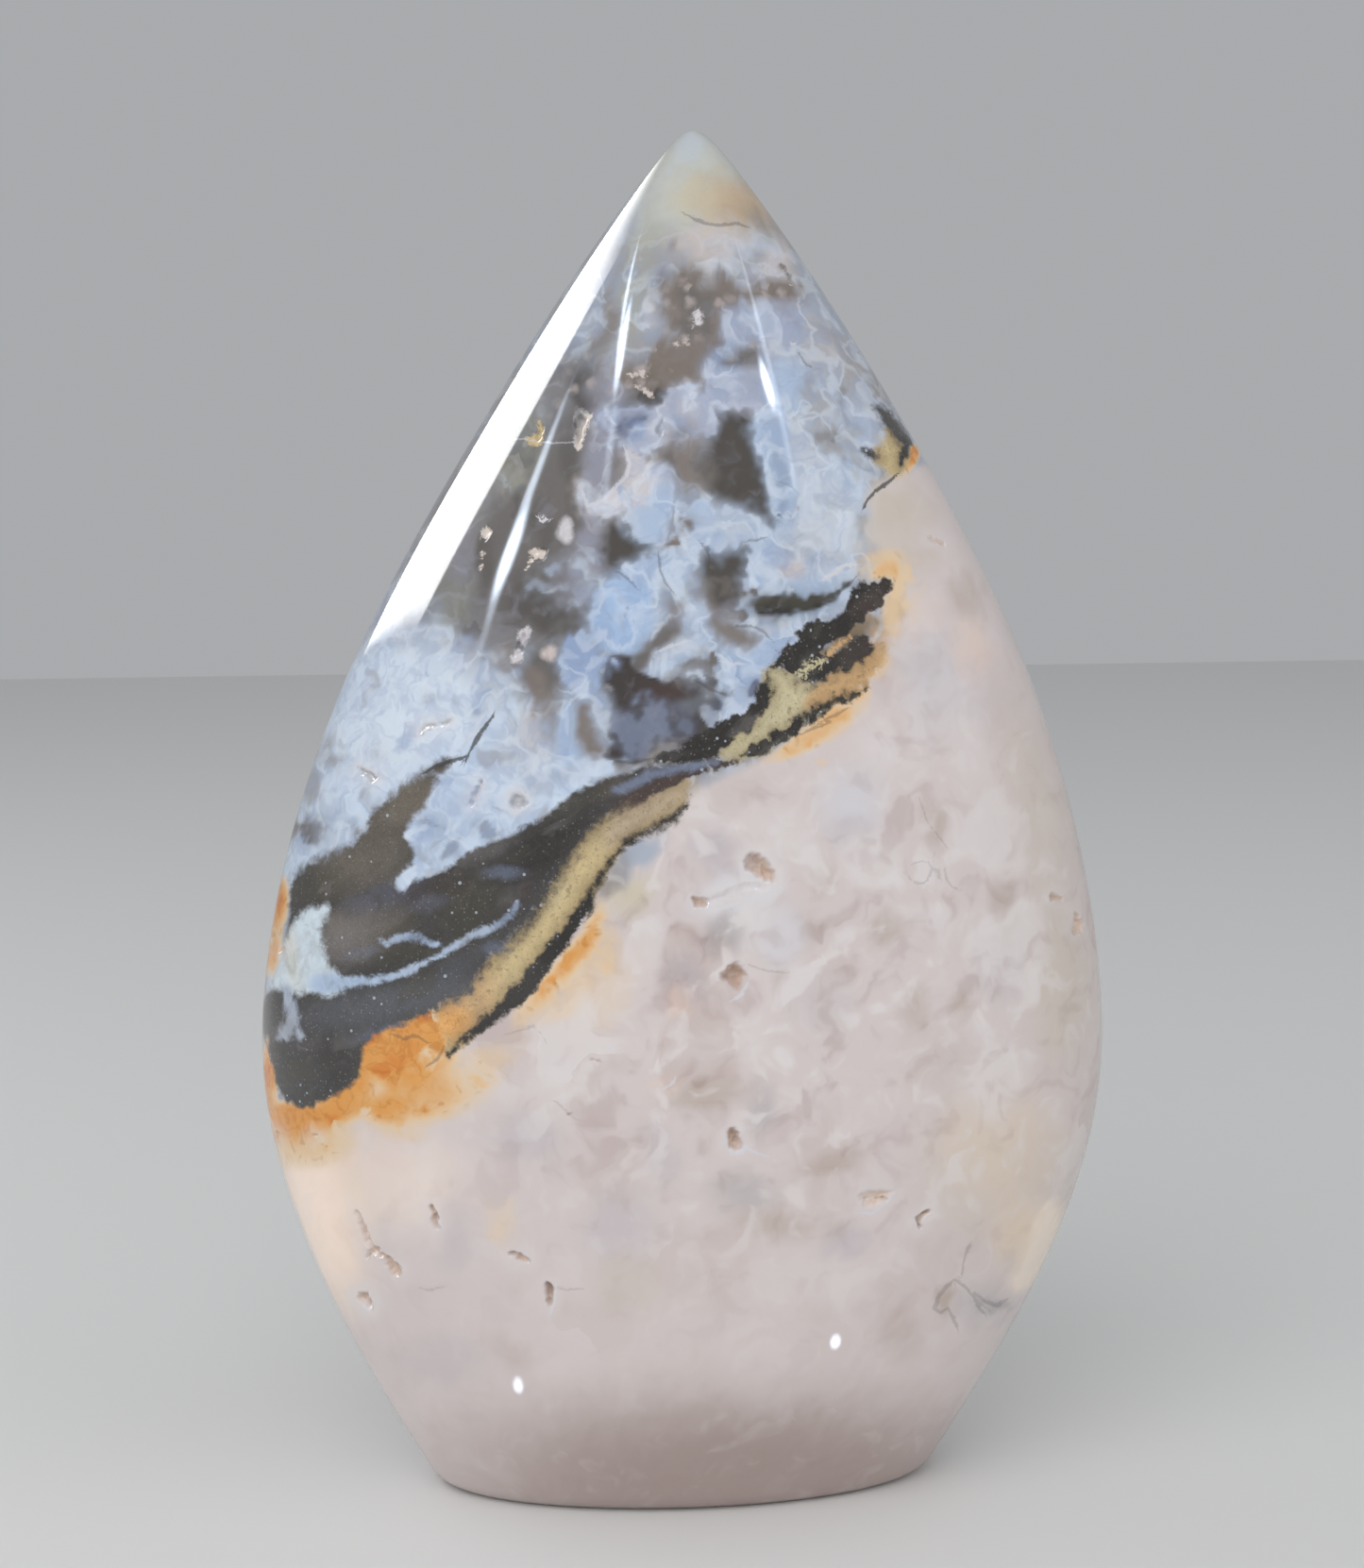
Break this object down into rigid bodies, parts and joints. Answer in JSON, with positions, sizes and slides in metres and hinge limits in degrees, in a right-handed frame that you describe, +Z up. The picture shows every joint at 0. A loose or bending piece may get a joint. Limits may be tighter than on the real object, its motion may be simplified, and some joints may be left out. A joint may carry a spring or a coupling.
{
  "type": "plume agate flame carving",
  "caption": "Flat-based flame of polished plume agate, an elliptical section that swells low down and tapers to a rounded point, with natural pits in its faces.",
  "frame": {"origin": "centre of the flat sawn base, at the surface it stands on", "axes": "+Z up to the tip, -Y out of the front face, +X to the right as seen from the front"},
  "size_m": [0.1014, 0.046, 0.1613],
  "materials": {
    "polished_agate": "polished to a high gloss"
  },
  "bodies": {
    "root": {"agate_flame": "polished_agate"}
  },
  "joints": []
}
